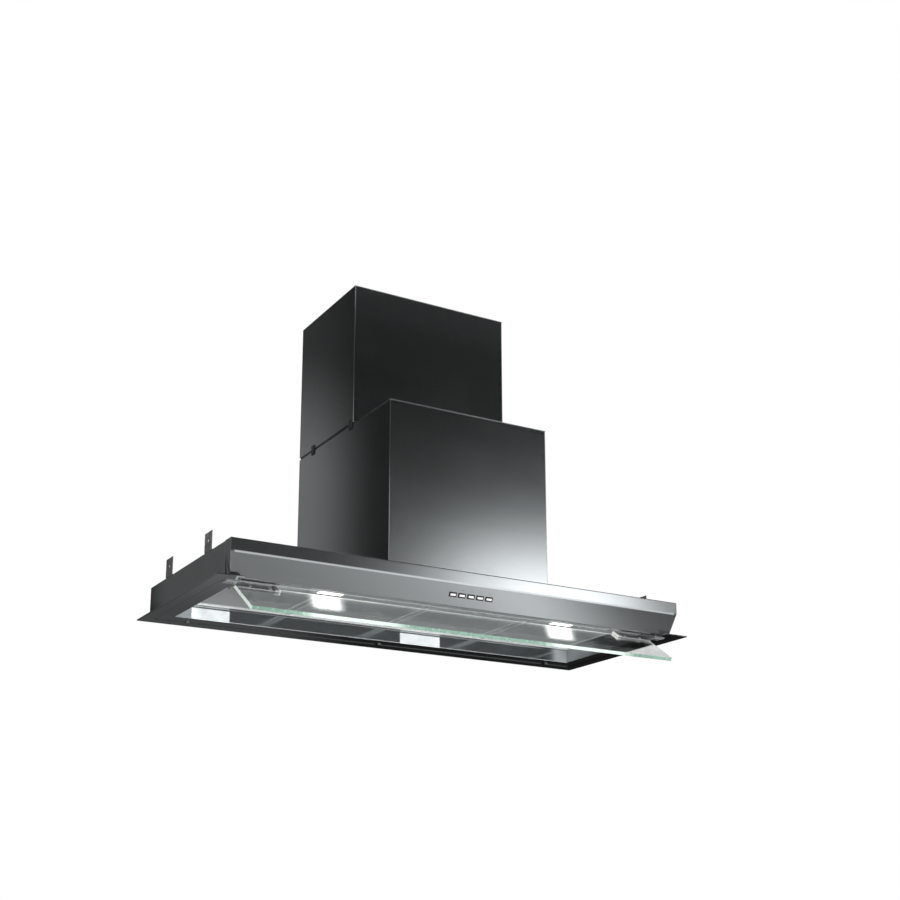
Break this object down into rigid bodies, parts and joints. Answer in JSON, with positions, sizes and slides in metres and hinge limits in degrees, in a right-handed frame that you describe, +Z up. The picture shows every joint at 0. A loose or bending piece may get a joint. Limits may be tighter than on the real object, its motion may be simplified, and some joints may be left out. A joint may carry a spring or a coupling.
{
  "type": "range hood",
  "caption": "Cabinet-mounted stainless range hood with a stepped duct cover, hinged glass visor, grease filters, lamps, push buttons and a blower with a round outlet.",
  "frame": {"origin": "centre of the four wall-fixing holes on the back face of the mounting plate", "axes": "+X to the right seen from the front, +Y back into the wall, +Z up"},
  "size_m": [0.9, 0.3882, 0.6555],
  "materials": {
    "stainless_satin": "fine brushed satin",
    "stainless_body": "satin",
    "zinc_sheet": "galvanised",
    "filter_aluminium": "satin",
    "filter_mesh": "layered expanded mesh",
    "latch_plastic": "grey",
    "clear_glass": "clear, green at the edges",
    "clamp_steel": "satin",
    "clamp_cap": "pale",
    "screw_steel": "bright",
    "lamp_body": "white",
    "lamp_lens": "frosted",
    "button_white": "white",
    "black_plastic": "black",
    "fan_plastic": "dark grey",
    "motor_paint": "black",
    "capacitor_white": "white"
  },
  "bodies": {
    "hood": {"button_bezel": "black_plastic", "cable_gland": "black_plastic", "canopy_shell": "stainless_body", "capacitor": "capacitor_white", "control_box": "black_plastic", "cover_clips": "zinc_sheet", "damper_pin": "screw_steel", "front_end_caps": "stainless_satin", "front_panel": "stainless_satin", "hinge_brackets": "clamp_steel", "hinge_pins": "clamp_steel", "inner_wall_left": "stainless_body", "inner_wall_rear": "stainless_body", "inner_wall_right": "stainless_body", "lamp_housings": "lamp_body", "lamp_lenses": "lamp_lens", "lamp_rail": "stainless_body", "lower_cover": "stainless_satin", "lower_cover_lid": "stainless_body", "motor": "motor_paint", "motor_bracket": "zinc_sheet", "mounting_plate": "zinc_sheet", "outlet_collar": "black_plastic", "rear_filter_ledge": "stainless_body", "rim_rail_left": "stainless_body", "rim_rail_rear": "stainless_body", "rim_rail_right": "stainless_body", "rim_screws": "screw_steel", "scroll_housing": "zinc_sheet", "scroll_inlet_rings": "zinc_sheet", "side_brackets": "zinc_sheet", "switch_block": "black_plastic", "top_brackets": "zinc_sheet", "upper_cover": "stainless_satin"},
    "glass": {"glass_panel": "clear_glass", "glass_clamps": "clamp_steel", "glass_clamp_bolts": "screw_steel", "clamp_end_caps": "clamp_cap"},
    "fan": {"impeller": "fan_plastic", "motor_shaft": "screw_steel"},
    "flap_front": {"damper_flap_front": "black_plastic"},
    "flap_rear": {"damper_flap_rear": "black_plastic"},
    "filter_1": {"filter_frame_1": "filter_aluminium", "filter_mesh_1": "filter_mesh"},
    "latch_1": {"filter_latch_1": "latch_plastic"},
    "filter_2": {"filter_frame_2": "filter_aluminium", "filter_mesh_2": "filter_mesh"},
    "latch_2": {"filter_latch_2": "latch_plastic"},
    "filter_3": {"filter_frame_3": "filter_aluminium", "filter_mesh_3": "filter_mesh"},
    "latch_3": {"filter_latch_3": "latch_plastic"},
    "filter_4": {"filter_frame_4": "filter_aluminium", "filter_mesh_4": "filter_mesh"},
    "latch_4": {"filter_latch_4": "latch_plastic"},
    "push_1": {"button_1": "button_white"},
    "push_2": {"button_2": "button_white"},
    "push_3": {"button_3": "button_white"},
    "push_4": {"button_4": "button_white"},
    "push_5": {"button_5": "button_white"}
  },
  "joints": [
    {"name": "glass_swing", "type": "hinge", "parent": "hood", "child": "glass", "pos_m": [0, -0.31, -0.198], "axis": [1, 0, 0], "range_deg": [0, 140]},
    {"name": "fan_spin", "type": "hinge", "parent": "hood", "child": "fan", "pos_m": [0, -0.15, -0.02], "axis": [1, 0, 0], "continuous": true},
    {"name": "flap_front_lift", "type": "hinge", "parent": "hood", "child": "flap_front", "pos_m": [0, -0.112, 0.151], "axis": [1, 0, 0], "range_deg": [-75, 0]},
    {"name": "flap_rear_lift", "type": "hinge", "parent": "hood", "child": "flap_rear", "pos_m": [0, -0.112, 0.151], "axis": [1, 0, 0], "range_deg": [0, 75]},
    {"name": "filter_1_tilt", "type": "hinge", "parent": "hood", "child": "filter_1", "pos_m": [0, -0.0703, -0.174], "axis": [1, 0, 0], "range_deg": [0, 38]},
    {"name": "latch_1_slide", "type": "slide", "parent": "filter_1", "child": "latch_1", "axis": [0, 1, 0], "range_m": [0, 0.0045], "stiffness_N_per_m": 120},
    {"name": "filter_2_tilt", "type": "hinge", "parent": "hood", "child": "filter_2", "pos_m": [0, -0.0703, -0.174], "axis": [1, 0, 0], "range_deg": [0, 38]},
    {"name": "latch_2_slide", "type": "slide", "parent": "filter_2", "child": "latch_2", "axis": [0, 1, 0], "range_m": [0, 0.0045], "stiffness_N_per_m": 120},
    {"name": "filter_3_tilt", "type": "hinge", "parent": "hood", "child": "filter_3", "pos_m": [0, -0.0703, -0.174], "axis": [1, 0, 0], "range_deg": [0, 38]},
    {"name": "latch_3_slide", "type": "slide", "parent": "filter_3", "child": "latch_3", "axis": [0, 1, 0], "range_m": [0, 0.0045], "stiffness_N_per_m": 120},
    {"name": "filter_4_tilt", "type": "hinge", "parent": "hood", "child": "filter_4", "pos_m": [0, -0.0703, -0.174], "axis": [1, 0, 0], "range_deg": [0, 38]},
    {"name": "latch_4_slide", "type": "slide", "parent": "filter_4", "child": "latch_4", "axis": [0, 1, 0], "range_m": [0, 0.0045], "stiffness_N_per_m": 120},
    {"name": "button_1_push", "type": "slide", "parent": "hood", "child": "push_1", "axis": [0, 0.9133, 0.4073], "range_m": [0, 0.002], "stiffness_N_per_m": 250},
    {"name": "button_2_push", "type": "slide", "parent": "hood", "child": "push_2", "axis": [0, 0.9133, 0.4073], "range_m": [0, 0.002], "stiffness_N_per_m": 250},
    {"name": "button_3_push", "type": "slide", "parent": "hood", "child": "push_3", "axis": [0, 0.9133, 0.4073], "range_m": [0, 0.002], "stiffness_N_per_m": 250},
    {"name": "button_4_push", "type": "slide", "parent": "hood", "child": "push_4", "axis": [0, 0.9133, 0.4073], "range_m": [0, 0.002], "stiffness_N_per_m": 250},
    {"name": "button_5_push", "type": "slide", "parent": "hood", "child": "push_5", "axis": [0, 0.9133, 0.4073], "range_m": [0, 0.002], "stiffness_N_per_m": 250}
  ],
  "couplings": [
    {"joint": "flap_rear_lift", "follows": "flap_front_lift", "ratio": -1}
  ]
}
